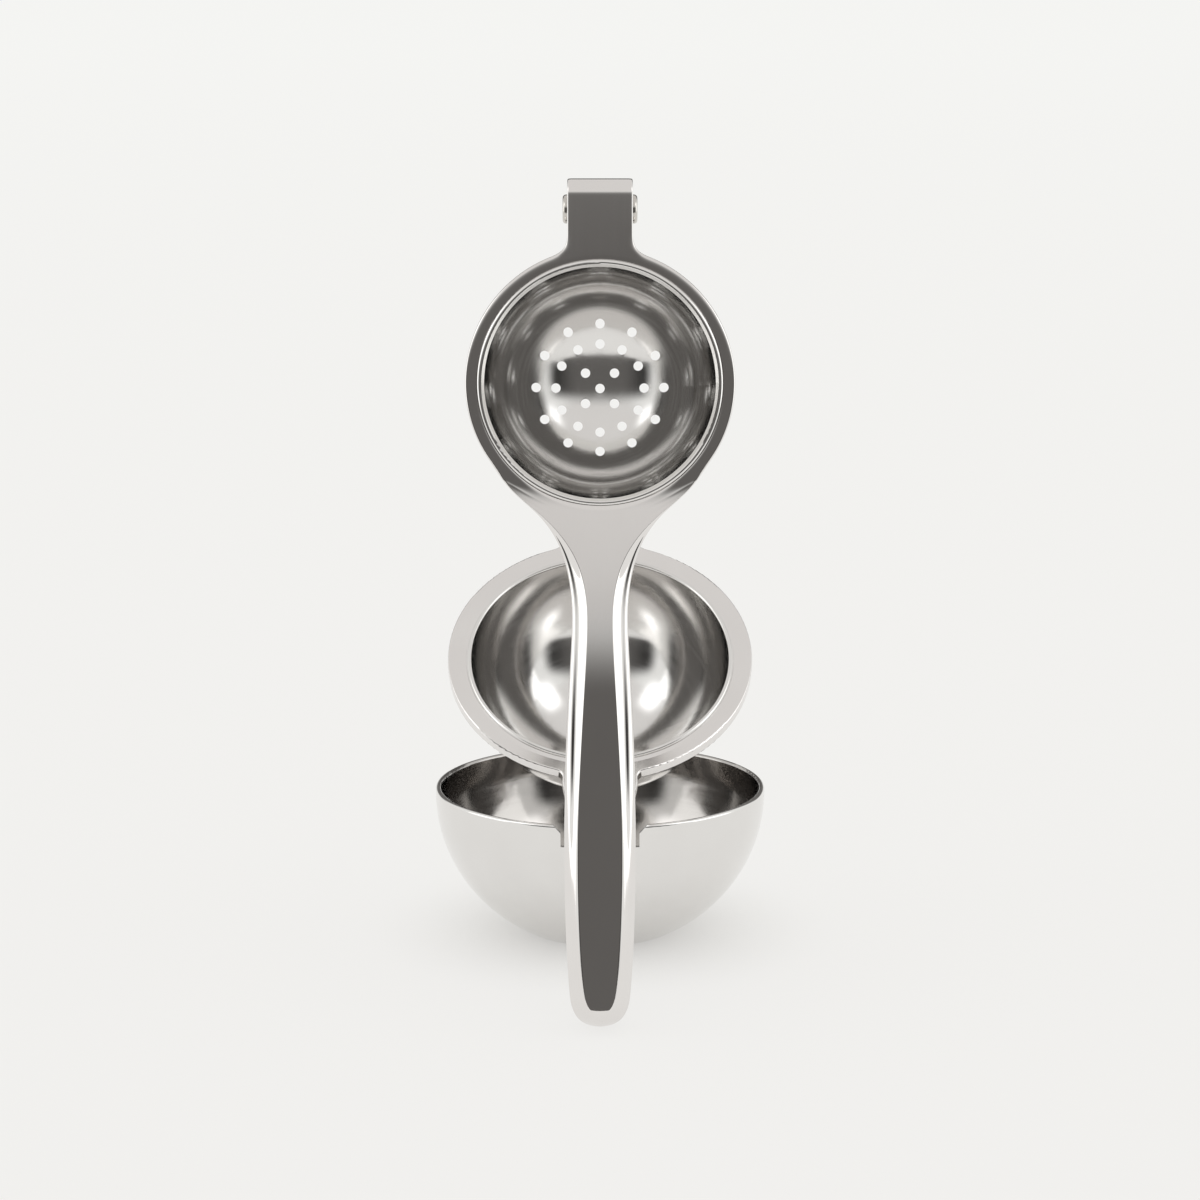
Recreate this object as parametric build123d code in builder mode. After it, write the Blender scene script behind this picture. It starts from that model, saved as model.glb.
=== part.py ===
from build123d import *
import math
import os

os.makedirs("parts", exist_ok=True)

# Frame: millimetres, Z up, floor at z = 0, cup axis on X = Y = 0, front of the press toward -Y.
lean = 12.0
ring_y = -59.1
ring_z = 163.4
bowl_tilt = 36.7
pivot_y = -66.1
rim_z = 40.9
fit_gap = 0.02
run_gap = 0.05
slide_gap = 0.4

# Catch cup
cup_a = 45.7
cup_b = 43.6
cup_wall = 1.6
cup_wall_top = 1.7
notch_half = 10.6
notch_depth = 6.0
notch_corner = 2.2

# Press bowl arm, in its own tilted frame with the pivot at the origin
arm_reach = -pivot_y
bowl_out_r = 36.6
bowl_wall = 1.3
bowl_drop = 0.9
arm_bore_r = bowl_out_r + fit_gap
arm_flange = 4.98
arm_ring_r = arm_bore_r + arm_flange
arm_ring_t = 3.2
arm_edge = 0.5
neck_half = 10.0
neck_low = 8.0
neck_root = arm_reach - arm_ring_r - 2.5
hook_at = arm_ring_r + 3.9
hook_half = 4.4
knuckle_r = 4.6
knuckle_half = 3.5

# Strainer lever, in its own leaning frame with the ring centre at the origin
strain_out_r = 30.9
strain_wall = 0.9
strain_in_r = strain_out_r - strain_wall
lev_bore_r = strain_out_r + run_gap
lev_flange = 4.15
lev_ring_r = lev_bore_r + lev_flange
lev_ring_t = 4.0
hole_d = 2.5
tab_half = 8.54
tab_low = lev_ring_r + 6.3
tab_top = lev_ring_r + 18.2
pin_at = lev_ring_r + 10.4
pin_depth = 6.2
pin_d = 4.0
pin_head_d = 7.6
ear_in = 4.75
ear_deep = 10.4
ear_r = 3.0
bend_r = 4.0
back_n = -6.0

# Pivot hardware
pivot_d = 4.0
lug_in = 4.5
lug_out = 7.2
washer_t = 0.8
pad_half = 9.2
rivet_x = 6.0
rivet_z = 18.5

ca = math.cos(math.radians(lean))
sa = math.sin(math.radians(lean))
face_plane = Plane(origin=(0, ring_y, ring_z), x_dir=(1, 0, 0), z_dir=(0, -ca, sa))
side_plane = Plane(origin=(0, ring_y, ring_z), x_dir=(0, sa, ca), z_dir=(1, 0, 0))
ct = math.cos(math.radians(bowl_tilt))
st = math.sin(math.radians(bowl_tilt))
arm_plane = Plane(origin=(0, pivot_y, rim_z), x_dir=(1, 0, 0), z_dir=(0, -st, ct))
arm_side = Plane(origin=(0, pivot_y, rim_z), x_dir=(0, ct, st), z_dir=(1, 0, 0))


def section_plane(q):
    return Plane(
        origin=(0, ring_y + q * sa, ring_z + q * ca),
        x_dir=(1, 0, 0),
        z_dir=(0, sa, ca),
    )


def cup_profile(a, b, z_low, count=9):
    zc = rim_z - cup_wall_top
    pts = []
    for i in range(count):
        z = zc + (z_low - zc) * math.sin(math.pi / 2 * i / (count - 1))
        pts.append((a * math.sqrt(1 - ((z - zc) / b) ** 2), z))
    return pts


# Catch cup: spun shell with a flat base, rounded lip and a notch for the bowl arm's neck
with BuildPart() as cup_shell:
    outer = cup_profile(cup_a, cup_b, 0.0)
    inner = cup_profile(cup_a - cup_wall, cup_b - cup_wall, cup_wall)
    with BuildSketch(Plane.XZ):
        with BuildLine():
            Line((cup_a, rim_z), outer[0])
            Spline(outer, tangents=[(0, -1), (-1, -0.45)])
            Line(outer[-1], (0, 0))
            Line((0, 0), (0, cup_wall))
            Line((0, cup_wall), inner[-1])
            Spline(list(reversed(inner)), tangents=[(1, 0.45), (0, 1)])
            Line(inner[0], (cup_a - cup_wall, rim_z))
            Line((cup_a - cup_wall, rim_z), (cup_a, rim_z))
        make_face()
    revolve(axis=Axis.Z)
    fillet(cup_shell.edges().group_by(Axis.Z)[-1], 0.75)
    with BuildSketch(Plane.XZ.offset(30)):
        with BuildLine():
            Polyline(
                (-notch_half - notch_corner, rim_z + 2),
                (-notch_half - notch_corner, rim_z),
                (-notch_half, rim_z - notch_corner),
                (-notch_half, rim_z - notch_depth),
                (notch_half, rim_z - notch_depth),
                (notch_half, rim_z - notch_corner),
                (notch_half + notch_corner, rim_z),
                (notch_half + notch_corner, rim_z + 2),
                close=True,
            )
        make_face()
    extrude(amount=30, mode=Mode.SUBTRACT)
    for rx in (-rivet_x, rivet_x):
        with BuildSketch(Plane.XZ.offset(30)):
            with Locations((rx, rivet_z)):
                Circle(1.25)
        extrude(amount=30, mode=Mode.SUBTRACT)
cup_shell.part.label = "cup_shell"
export_step(cup_shell.part, "parts/cup_shell.step")

# Front bracket: curved saddle on the cup, short arm, two pivot lugs and the upright docking tongue
with BuildPart() as cup_bracket:
    pad_out = cup_profile(cup_a + 2.0, cup_b + 2.0, 6.0)
    with BuildSketch(Plane.XZ):
        with BuildLine():
            Line((0, pad_out[0][1]), pad_out[0])
            Spline(pad_out)
            Line(pad_out[-1], (0, 6.0))
            Line((0, 6.0), (0, pad_out[0][1]))
        make_face()
    revolve(axis=Axis.Z)
    with BuildSketch(Plane.XZ.offset(28)):
        with BuildLine():
            Polyline(
                (-pad_half, rim_z - notch_depth),
                (-pad_half, rivet_z - 1.0),
                (-pad_half + 3.2, rivet_z - 6.0),
                (pad_half - 3.2, rivet_z - 6.0),
                (pad_half, rivet_z - 1.0),
                (pad_half, rim_z - notch_depth),
                close=True,
            )
        make_face()
    extrude(amount=30, mode=Mode.INTERSECT)
    with BuildSketch(Plane.YZ.offset(-lug_out)):
        with BuildLine():
            Polyline(
                (1.2 - cup_a, rim_z - notch_depth),
                (1.2 - cup_a, 22.5),
                (pivot_y + 8.1, 28.0),
                (pivot_y - 9.9, 28.0),
                (pivot_y - 9.9, rim_z - notch_depth),
                close=True,
            )
        make_face()
    extrude(amount=2 * lug_out)
    with BuildSketch(Plane.XZ):
        with BuildLine():
            core = cup_profile(cup_a + fit_gap, cup_b + fit_gap, 4.0)
            Line((0, 60), (cup_a + fit_gap, 60))
            Line((cup_a + fit_gap, 60), core[0])
            Spline(core)
            Line(core[-1], (0, 4))
            Line((0, 4), (0, 60))
        make_face()
    revolve(axis=Axis.Z, mode=Mode.SUBTRACT)
    for side in (-1, 1):
        with BuildSketch(Plane.YZ.offset(lug_in if side > 0 else -lug_out)):
            with Locations((pivot_y, rim_z)):
                Circle(5.0)
            with BuildLine():
                Polyline(
                    (pivot_y - 5.0, rim_z),
                    (pivot_y - 9.0, rim_z - notch_depth - 3.0),
                    (pivot_y + 10.0, rim_z - notch_depth - 3.0),
                    (pivot_y + 5.0, rim_z),
                    close=True,
                )
            make_face()
        extrude(amount=lug_out - lug_in)
    with BuildSketch(side_plane.offset(-4.0)):
        with BuildLine():
            Polyline(
                (-101.0, -6.5),
                (-101.0, -8.9),
                (-126.5, -8.9),
                (-128.5, -13.0),
                (-134.0, -13.0),
                (-131.0, -6.5),
                close=True,
            )
        make_face()
    extrude(amount=8.0)
    with BuildSketch(Plane.YZ.offset(-12)):
        with Locations((pivot_y, rim_z)):
            Circle(pivot_d / 2 + fit_gap)
    extrude(amount=24, mode=Mode.SUBTRACT)
    with BuildSketch(Plane.YZ.offset(-lug_in)):
        with Locations((pivot_y, rim_z)):
            Circle(5.6)
    extrude(amount=2 * lug_in, mode=Mode.SUBTRACT)
    for rx in (-rivet_x, rivet_x):
        with BuildSketch(Plane.XZ.offset(30)):
            with Locations((rx, rivet_z)):
                Circle(1.25)
        extrude(amount=30, mode=Mode.SUBTRACT)
cup_bracket.part.label = "cup_bracket"
export_step(cup_bracket.part, "parts/cup_bracket.step")

# Two flush rivets through the saddle and the cup wall
for tag, rx in (("left", -rivet_x), ("right", rivet_x)):
    with BuildPart() as bracket_rivet:
        riv_in = cup_profile(cup_a - cup_wall, cup_b - cup_wall, 8.0)
        riv_out = cup_profile(cup_a + 2.0, cup_b + 2.0, 8.0)
        with BuildSketch(Plane.XZ):
            with BuildLine():
                Spline(riv_in)
                Line(riv_in[-1], riv_out[-1])
                Spline(list(reversed(riv_out)))
                Line(riv_out[0], riv_in[0])
            make_face()
        revolve(axis=Axis.Z)
        with BuildSketch(Plane.XZ.offset(30)):
            with Locations((rx, rivet_z)):
                Circle(1.25 - fit_gap)
        extrude(amount=30, mode=Mode.INTERSECT)
    bracket_rivet.part.label = "bracket_rivet_" + tag
    export_step(bracket_rivet.part, "parts/bracket_rivet_" + tag + ".step")

# Pivot pin with one formed head, its pressed end cap and two friction washers
with BuildPart() as pivot_pin:
    with BuildSketch(Plane.YZ.offset(-lug_out - run_gap)):
        with Locations((pivot_y, rim_z)):
            Circle(pivot_d / 2)
    extrude(amount=2 * lug_out + 2 * run_gap + 0.8)
    with BuildSketch(Plane.YZ.offset(-lug_out - run_gap - 1.1)):
        with Locations((pivot_y, rim_z)):
            Circle(3.3)
    extrude(amount=1.1)
    fillet(pivot_pin.edges().filter_by(GeomType.CIRCLE).sort_by(Axis.X)[0], 0.5)
pivot_pin.part.label = "pivot_pin"
export_step(pivot_pin.part, "parts/pivot_pin.step")

with BuildPart() as pivot_cap:
    with BuildSketch(Plane.YZ.offset(lug_out + run_gap)):
        with Locations((pivot_y, rim_z)):
            Circle(3.3)
    extrude(amount=1.25)
    fillet(pivot_cap.edges().filter_by(GeomType.CIRCLE).sort_by(Axis.X)[-1], 0.5)
    with BuildSketch(Plane.YZ.offset(lug_out)):
        with Locations((pivot_y, rim_z)):
            Circle(pivot_d / 2 + fit_gap)
    extrude(amount=0.05 + 0.85, mode=Mode.SUBTRACT)
pivot_cap.part.label = "pivot_cap"
export_step(pivot_cap.part, "parts/pivot_cap.step")

for tag, side in (("left", -1), ("right", 1)):
    with BuildPart() as friction_washer:
        start = lug_in - 0.05 - washer_t if side > 0 else -lug_in + 0.05
        with BuildSketch(Plane.YZ.offset(start)):
            with Locations((pivot_y, rim_z)):
                Circle(4.5)
                Circle(pivot_d / 2 + 0.05, mode=Mode.SUBTRACT)
        extrude(amount=washer_t)
    friction_washer.part.label = "friction_washer_" + tag
    export_step(friction_washer.part, "parts/friction_washer_" + tag + ".step")

# Bowl arm: flange ring, front neck with the pivot knuckle, rear tab with the open hook
with BuildPart() as bowl_arm:
    with BuildSketch(arm_plane) as arm_outline:
        with Locations((0, arm_reach)):
            Circle(arm_ring_r)
        with BuildLine():
            Polyline(
                (-0.62 * neck_half, neck_low),
                (-0.86 * neck_half, 0.57 * neck_low + 0.43 * neck_root),
                (-neck_half, neck_root),
                (-neck_half, neck_root + 18.0),
                (neck_half, neck_root + 18.0),
                (neck_half, neck_root),
                (0.86 * neck_half, 0.57 * neck_low + 0.43 * neck_root),
                (0.62 * neck_half, neck_low),
                close=True,
            )
        make_face()
        with BuildLine():
            Polyline(
                (-neck_half, arm_reach + arm_ring_r - 11.6),
                (-neck_half, arm_reach + arm_ring_r + 3.6),
                (neck_half, arm_reach + arm_ring_r + 3.6),
                (neck_half, arm_reach + arm_ring_r - 11.6),
                close=True,
            )
        make_face()
        root_reach = math.sqrt(arm_ring_r**2 - neck_half**2)
        front_roots = arm_outline.vertices().filter_by(
            lambda v: abs(abs(v.X) - neck_half) < 0.05
            and abs(arm_plane.to_local_coords(v).Y - arm_reach + root_reach) < 0.3
        )
        fillet(front_roots, 2.5)
        rear_roots = arm_outline.vertices().filter_by(
            lambda v: abs(abs(v.X) - neck_half) < 0.05
            and abs(arm_plane.to_local_coords(v).Y - arm_reach - root_reach) < 0.3
        )
        fillet(rear_roots, 4.5)
    extrude(amount=-arm_ring_t)
    arm_faces = bowl_arm.faces().sort_by(Axis(arm_plane.origin, arm_plane.z_dir))
    fillet(arm_faces[-1].edges() + arm_faces[0].edges(), arm_edge)
    with BuildSketch(arm_plane):
        with BuildLine():
            Polyline(
                (-knuckle_half, 0.0),
                (-knuckle_half, 10.0),
                (knuckle_half, 10.0),
                (knuckle_half, 0.0),
                close=True,
            )
        make_face()
    extrude(amount=-arm_ring_t)
    with BuildSketch(arm_side.offset(-knuckle_half)):
        Circle(knuckle_r)
    extrude(amount=2 * knuckle_half)
    with BuildSketch(arm_side.offset(-hook_half)):
        with Locations((arm_reach + hook_at, -2.2)):
            Circle(4.8)
        with BuildLine():
            Polyline(
                (arm_reach + hook_at - 7.5, 0.0),
                (arm_reach + hook_at, 0.0),
                (arm_reach + hook_at, -7.0),
                (arm_reach + hook_at - 7.5, -arm_ring_t),
                close=True,
            )
        make_face()
    extrude(amount=2 * hook_half)
    for side in (-1, 1):
        with BuildSketch(arm_plane.offset(3)):
            with Locations((side * 7.9, arm_reach + hook_at + 0.8)):
                Rectangle(6.6, 10.0)
        extrude(amount=-12, mode=Mode.SUBTRACT)
    with BuildSketch(arm_side.offset(-12)):
        with Locations((arm_reach + hook_at, -2.2)):
            Circle(2.75)
        with Locations((arm_reach + hook_at, 1.8)):
            Rectangle(5.5, 8.0)
    extrude(amount=24, mode=Mode.SUBTRACT)
    with BuildSketch(arm_side.offset(-12)):
        with Locations((arm_reach + hook_at, 3.6)):
            Rectangle(14.0, 6.0)
    extrude(amount=24, mode=Mode.SUBTRACT)
    with BuildSketch(arm_plane.offset(3)):
        with Locations((0, arm_reach)):
            Circle(arm_bore_r)
    extrude(amount=-10, mode=Mode.SUBTRACT)
    chamfer_in = arm_bore_r - 0.62
    chamfer_out = arm_bore_r + 1.68
    with BuildSketch(Plane(origin=arm_plane.from_local_coords((0, arm_reach, 0)), x_dir=(1, 0, 0),
                           z_dir=(0, ct, st))):
        with BuildLine():
            Polyline((chamfer_in, 0.5), (chamfer_out, 0.0), (chamfer_out, -0.5), (chamfer_in, -0.5), close=True)
        make_face()
    ring_axis = Axis(arm_plane.from_local_coords((0, arm_reach, 0)), arm_plane.z_dir)
    revolve(axis=ring_axis, mode=Mode.SUBTRACT)
    with BuildSketch(arm_side.offset(-12)):
        Circle(pivot_d / 2 + run_gap)
    extrude(amount=24, mode=Mode.SUBTRACT)
bowl_arm.part.label = "bowl_arm"
export_step(bowl_arm.part, "parts/bowl_arm.step")

# Press bowl: plain hemispherical shell set in the arm's ring
with BuildPart() as press_bowl:
    bowl_plane = Plane(origin=arm_plane.from_local_coords((0, arm_reach, 0)), x_dir=(1, 0, 0),
                       z_dir=(0, ct, st))
    bowl_in_r = bowl_out_r - bowl_wall
    with BuildSketch(bowl_plane):
        with BuildLine():
            Line((bowl_in_r, 0.05), (bowl_out_r, 0.25))
            Line((bowl_out_r, 0.25), (bowl_out_r, bowl_drop))
            RadiusArc((bowl_out_r, bowl_drop), (0, bowl_drop + bowl_out_r), -bowl_out_r)
            Line((0, bowl_drop + bowl_out_r), (0, bowl_drop + bowl_in_r))
            RadiusArc((0, bowl_drop + bowl_in_r), (bowl_in_r, bowl_drop), bowl_in_r)
            Line((bowl_in_r, bowl_drop), (bowl_in_r, 0.05))
        make_face()
    revolve(axis=Axis(bowl_plane.origin, arm_plane.z_dir))
press_bowl.part.label = "press_bowl"
export_step(press_bowl.part, "parts/press_bowl.step")

# Strainer lever: ring, hinge clevis at the top and one long handle that rises from the ring's plane
half_width = [
    (-18.6, 28.6), (-22.5, 27.7), (-26.4, 24.6), (-30.3, 20.4), (-34.2, 15.9), (-38.0, 12.8),
    (-42.2, 10.5), (-49.7, 8.2), (-57.5, 7.0), (-69.1, 7.45), (-82.0, 8.3), (-97.6, 8.95),
    (-113.0, 9.25), (-128.0, 9.2), (-144.1, 8.8), (-154.5, 8.15), (-159.7, 7.6), (-162.6, 6.75),
    (-165.0, 5.0), (-166.4, 2.6),
]
bevel_width = [
    0.5, 0.6, 0.75, 1.0, 1.5, 2.1, 2.8, 3.6, 3.9, 4.0, 4.1, 3.9, 3.6, 3.5, 3.6, 3.8, 3.9, 4.1, 3.6, 1.8,
]
bevel_drop = [
    0.4, 0.5, 0.6, 0.8, 1.2, 1.8, 2.4, 3.2, 3.6, 3.8, 4.0, 4.0, 4.0, 4.0, 4.0, 3.9, 3.6, 3.0, 1.8, 1.0,
]
tip_drop = {-159.7: 0.2, -162.6: 1.1, -165.0: 3.4, -166.4: 5.6}
tip_lift = {-159.7: 0.3, -162.6: 0.9, -165.0: 2.0, -166.4: 3.2}
neck_slope = 0.22
neck_run = 24.0


def face_height(q):
    run = min(max(-32.0 - q, 0.0), 2 * neck_run)
    ease = max(run - neck_run, 0.0)
    return neck_slope * (run - ease * ease / (2 * neck_run)) - tip_drop.get(q, 0.0)


def back_height(q):
    u = min(max((-30.0 - q) / 30.0, 0.0), 1.0)
    return -lev_ring_t + (back_n + lev_ring_t) * u * u * (3 - 2 * u) + tip_lift.get(q, 0.0)


with BuildPart() as lever_body:
    for i, (q, w) in enumerate(half_width):
        top = -face_height(q)
        bot = -back_height(q)
        flat = w - bevel_width[i]
        edge = min(1.4, 0.35 * w)
        with BuildSketch(section_plane(q)):
            with BuildLine():
                Polyline(
                    (-flat, top),
                    (flat, top),
                    (w, top + bevel_drop[i]),
                    (w, bot - 0.9),
                    (w - edge, bot),
                    (edge - w, bot),
                    (-w, bot - 0.9),
                    (-w, top + bevel_drop[i]),
                    close=True,
                )
            make_face()
    loft()
    with BuildSketch(face_plane) as lever_ring:
        Circle(lev_ring_r)
        with Locations((0, lev_ring_r + 2.9)):
            Rectangle(2 * tab_half, 17.0)
        tab_roots = lever_ring.vertices().filter_by(
            lambda v: abs(abs(v.X) - tab_half) < 0.05 and face_plane.to_local_coords(v).Y < lev_ring_r + 0.9
        )
        fillet(tab_roots, 2.6)
    extrude(amount=-lev_ring_t)
    with BuildSketch(side_plane.offset(-tab_half)):
        with BuildLine():
            Line((tab_low, 0), (tab_top - bend_r, 0))
            RadiusArc((tab_top - bend_r, 0), (tab_top, -bend_r), bend_r)
            Line((tab_top, -bend_r), (tab_top, ear_r - ear_deep))
            RadiusArc((tab_top, ear_r - ear_deep), (tab_top - ear_r, -ear_deep), ear_r)
            Line((tab_top - ear_r, -ear_deep), (tab_low + ear_r, -ear_deep))
            RadiusArc((tab_low + ear_r, -ear_deep), (tab_low, ear_r - ear_deep), ear_r)
            Line((tab_low, ear_r - ear_deep), (tab_low, 0))
        make_face()
    extrude(amount=2 * tab_half)
    with BuildSketch(side_plane.offset(-ear_in)):
        with BuildLine():
            Polyline(
                (lev_ring_r - 5.1, -lev_ring_t),
                (tab_low, -3.0),
                (tab_top - 1.8, -3.0),
                (tab_top - 1.8, -12.0),
                (lev_ring_r - 5.1, -12.0),
                close=True,
            )
        make_face()
    extrude(amount=2 * ear_in, mode=Mode.SUBTRACT)
    with BuildSketch(side_plane.offset(-12)):
        with Locations((pin_at, -pin_depth)):
            Circle(pin_d / 2 + fit_gap)
    extrude(amount=24, mode=Mode.SUBTRACT)
    with BuildSketch(face_plane.offset(8)):
        Circle(lev_bore_r)
    extrude(amount=-30, mode=Mode.SUBTRACT)
    with BuildSketch(face_plane):
        Circle(lev_ring_r - 2.1)
    extrude(amount=8, mode=Mode.SUBTRACT)
    with BuildSketch(face_plane.offset(-lev_ring_t)):
        Circle(lev_ring_r - 2.1)
    extrude(amount=-8, mode=Mode.SUBTRACT)
    with BuildSketch(face_plane.offset(back_n - 1)):
        with Locations((0, -111.0)):
            SlotOverall(80.0, 8.8, rotation=90)
    extrude(amount=2.2, mode=Mode.SUBTRACT)
    with BuildSketch(face_plane.offset(back_n - 1)):
        with Locations((0, -111.0)):
            SlotOverall(76.0, 7.0, rotation=90)
    extrude(amount=8.2, mode=Mode.SUBTRACT)
    with BuildSketch(face_plane.offset(back_n - 1)):
        with Locations((-6.1, -108.0), (6.1, -108.0)):
            Circle(0.9 + fit_gap)
    extrude(amount=4.2, mode=Mode.SUBTRACT)
lever_body.part.label = "lever_body"
export_step(lever_body.part, "parts/lever_body.step")

# Perforated strainer bowl with a raised lip, and the ring that holds it from behind
hole_spots = [(0.0, 0.0)]
for sx in (-1, 1):
    for sy in (-1, 1):
        hole_spots.append((sx * 3.85, sy * 4.05))
for k in range(12):
    ang = math.radians(30 * k)
    for hole_ring in (0.3786 * strain_out_r, 0.5469 * strain_out_r):
        hole_spots.append((hole_ring * math.cos(ang), hole_ring * math.sin(ang)))

with BuildPart() as strainer_bowl:
    strain_plane = Plane(origin=face_plane.origin, x_dir=(1, 0, 0), z_dir=(0, sa, ca))
    with BuildSketch(strain_plane):
        with BuildLine():
            Line((strain_in_r, 0.0), (strain_out_r - 0.2, -0.75))
            ThreePointArc(
                (strain_out_r - 0.2, -0.75), (strain_out_r + 0.55, -0.8), (strain_out_r + 1.0, -fit_gap)
            )
            Line((strain_out_r + 1.0, -fit_gap), (strain_out_r, -fit_gap))
            Line((strain_out_r, -fit_gap), (strain_out_r, 0.0))
            RadiusArc((strain_out_r, 0.0), (0, strain_out_r), -strain_out_r)
            Line((0, strain_out_r), (0, strain_in_r))
            RadiusArc((0, strain_in_r), (strain_in_r, 0.0), strain_in_r)
        make_face()
    revolve(axis=Axis(face_plane.origin, face_plane.z_dir))
    with BuildSketch(face_plane.offset(-10)):
        with Locations(*hole_spots):
            Circle(hole_d / 2)
    extrude(amount=-30, mode=Mode.SUBTRACT)
strainer_bowl.part.label = "strainer_bowl"
export_step(strainer_bowl.part, "parts/strainer_bowl.step")

with BuildPart() as strainer_retainer:
    with BuildSketch(face_plane.offset(-lev_ring_t - fit_gap)):
        Circle(strain_out_r + 1.7)
        Circle(math.sqrt(strain_out_r**2 - (lev_ring_t + fit_gap) ** 2) + fit_gap, mode=Mode.SUBTRACT)
    extrude(amount=-1.1)
strainer_retainer.part.label = "strainer_retainer"
export_step(strainer_retainer.part, "parts/strainer_retainer.step")

# Hinge pin across the clevis: formed head, matching cap, and a sleeve that turns on the pin
with BuildPart() as hinge_pin:
    with BuildSketch(side_plane.offset(-tab_half - run_gap)):
        with Locations((pin_at, -pin_depth)):
            Circle(pin_d / 2)
    extrude(amount=2 * tab_half + 2 * run_gap + 0.6)
    with BuildSketch(side_plane.offset(-tab_half - run_gap)):
        with Locations((pin_at, -pin_depth)):
            Circle(pin_head_d / 2)
    extrude(amount=-1.15)
    fillet(hinge_pin.edges().filter_by(GeomType.CIRCLE).sort_by(Axis.X)[0], 0.9)
hinge_pin.part.label = "hinge_pin"
export_step(hinge_pin.part, "parts/hinge_pin.step")

with BuildPart() as hinge_pin_cap:
    with BuildSketch(side_plane.offset(tab_half + run_gap)):
        with Locations((pin_at, -pin_depth)):
            Circle(pin_head_d / 2)
    extrude(amount=1.15)
    fillet(hinge_pin_cap.edges().filter_by(GeomType.CIRCLE).sort_by(Axis.X)[-1], 0.9)
    with BuildSketch(side_plane.offset(tab_half)):
        with Locations((pin_at, -pin_depth)):
            Circle(pin_d / 2 + fit_gap)
    extrude(amount=0.7, mode=Mode.SUBTRACT)
hinge_pin_cap.part.label = "hinge_pin_cap"
export_step(hinge_pin_cap.part, "parts/hinge_pin_cap.step")

with BuildPart() as hinge_sleeve:
    with BuildSketch(side_plane.offset(-ear_in + 0.15)):
        with Locations((pin_at, -pin_depth)):
            Circle(2.6)
            Circle(pin_d / 2 + run_gap, mode=Mode.SUBTRACT)
    extrude(amount=2 * ear_in - 0.3)
hinge_sleeve.part.label = "hinge_sleeve"
export_step(hinge_sleeve.part, "parts/hinge_sleeve.step")

# Plate that closes the hollow back of the handle
with BuildPart() as handle_back_plate:
    with BuildSketch(face_plane.offset(back_n)):
        with Locations((0, -111.0)):
            SlotOverall(80.0 - 2 * run_gap, 8.8 - 2 * run_gap, rotation=90)
    extrude(amount=1.2 - fit_gap)
handle_back_plate.part.label = "handle_back_plate"
export_step(handle_back_plate.part, "parts/handle_back_plate.step")

# Strap on the back of the handle that drops over the bracket's tongue, and its two screws
with BuildPart() as dock_strap:
    with BuildSketch(section_plane(-112.0)):
        with BuildLine():
            Polyline(
                (-7.6, -back_n + fit_gap),
                (-4.0 - slide_gap, -back_n + fit_gap),
                (-4.0 - slide_gap, 9.3),
                (4.0 + slide_gap, 9.3),
                (4.0 + slide_gap, -back_n + fit_gap),
                (7.6, -back_n + fit_gap),
                (7.6, 11.3),
                (-7.6, 11.3),
                close=True,
            )
        make_face()
    extrude(amount=8.0)
    with BuildSketch(face_plane.offset(-14)):
        with Locations((-6.1, -108.0), (6.1, -108.0)):
            Circle(0.9 + fit_gap)
    extrude(amount=9, mode=Mode.SUBTRACT)
dock_strap.part.label = "dock_strap"
export_step(dock_strap.part, "parts/dock_strap.step")

for tag, sx in (("left", -6.1), ("right", 6.1)):
    with BuildPart() as strap_screw:
        with BuildSketch(face_plane.offset(-11.3)):
            with Locations((sx, -108.0)):
                Circle(0.9)
        extrude(amount=8.0)
        with BuildSketch(face_plane.offset(-11.3 - fit_gap)):
            with Locations((sx, -108.0)):
                Circle(1.45)
        extrude(amount=-0.9)
        with BuildSketch(face_plane.offset(-11.3)):
            with Locations((sx, -108.0)):
                Circle(0.9)
        extrude(amount=-0.1)
    strap_screw.part.label = "strap_screw_" + tag
    export_step(strap_screw.part, "parts/strap_screw_" + tag + ".step")
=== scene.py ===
import bmesh
import bpy
import math
from mathutils import Euler, Matrix, Vector


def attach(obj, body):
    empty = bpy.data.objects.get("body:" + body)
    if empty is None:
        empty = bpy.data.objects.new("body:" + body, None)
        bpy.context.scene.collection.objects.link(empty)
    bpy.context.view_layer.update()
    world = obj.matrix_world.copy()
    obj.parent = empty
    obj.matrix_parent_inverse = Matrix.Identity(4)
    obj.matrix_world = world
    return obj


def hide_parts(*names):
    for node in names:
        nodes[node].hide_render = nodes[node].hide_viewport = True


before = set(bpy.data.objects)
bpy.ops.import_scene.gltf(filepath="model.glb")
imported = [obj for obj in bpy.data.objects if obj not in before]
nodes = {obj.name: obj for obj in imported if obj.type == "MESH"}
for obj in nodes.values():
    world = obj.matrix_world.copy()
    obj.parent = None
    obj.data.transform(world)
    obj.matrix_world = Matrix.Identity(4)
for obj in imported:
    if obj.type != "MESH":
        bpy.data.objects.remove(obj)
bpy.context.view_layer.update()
mm = 0.001
print("frame loaded:", len(nodes), "nodes")

# Middle of each ring's face and of the cup's mouth in millimetres, and each ring's turn about X.
leverSpot = (0, -59.1, 163.4)
leverTurn = (math.radians(78), 0, 0)
bowlSpot = (0, -13.1, 80.4)
bowlTurn = (math.radians(36.7), 0, 0)
mouthSpot = (0, 0, 40.2)
level = (0, 0, 0)


def linearColour(hexText):
    parts = [int(hexText[i:i + 2], 16) / 255 for i in (1, 3, 5)]
    return tuple(c / 12.92 if c <= 0.04045 else ((c + 0.055) / 1.055) ** 2.4 for c in parts) + (1.0,)


def addNode(tree, kind, settings=None, links=None):
    node = tree.nodes.new(kind)
    for key, value in (settings or {}).items():
        if isinstance(key, int) or key in node.inputs:
            node.inputs[key].default_value = value
        else:
            setattr(node, key, value)
    for key, source in (links or {}).items():
        tree.links.new(source, node.inputs[key])
    return node


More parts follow.
